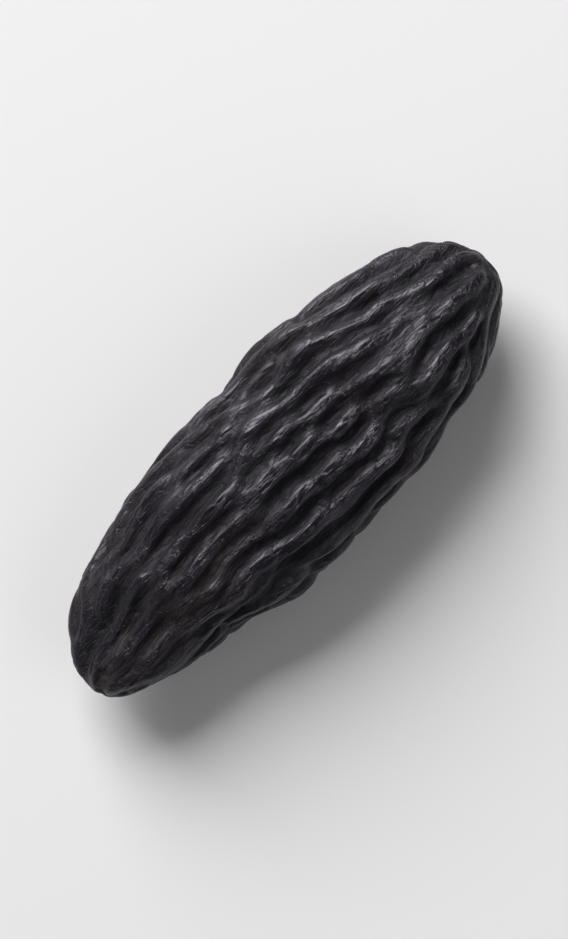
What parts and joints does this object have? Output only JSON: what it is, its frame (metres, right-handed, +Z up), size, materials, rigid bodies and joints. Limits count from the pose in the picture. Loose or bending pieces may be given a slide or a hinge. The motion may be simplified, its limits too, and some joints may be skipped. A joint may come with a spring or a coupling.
{
  "type": "tonka bean",
  "caption": "Long dried black seed with thick rounded ridges along its skin, blunter at the +X end, resting on a small flat spot.",
  "frame": {"origin": "on the flat spot of the underside, below the middle of the bean's length", "axes": "+X along the bean towards its blunt end, +Y across it towards its keeled edge, +Z up away from the surface it rests on"},
  "size_m": [0.0318, 0.0112, 0.0081],
  "materials": {
    "seed_skin": "black wrinkled seed skin with a waxy half gloss on the ridges"
  },
  "bodies": {
    "root": {"tonka_bean": "seed_skin"}
  },
  "joints": []
}
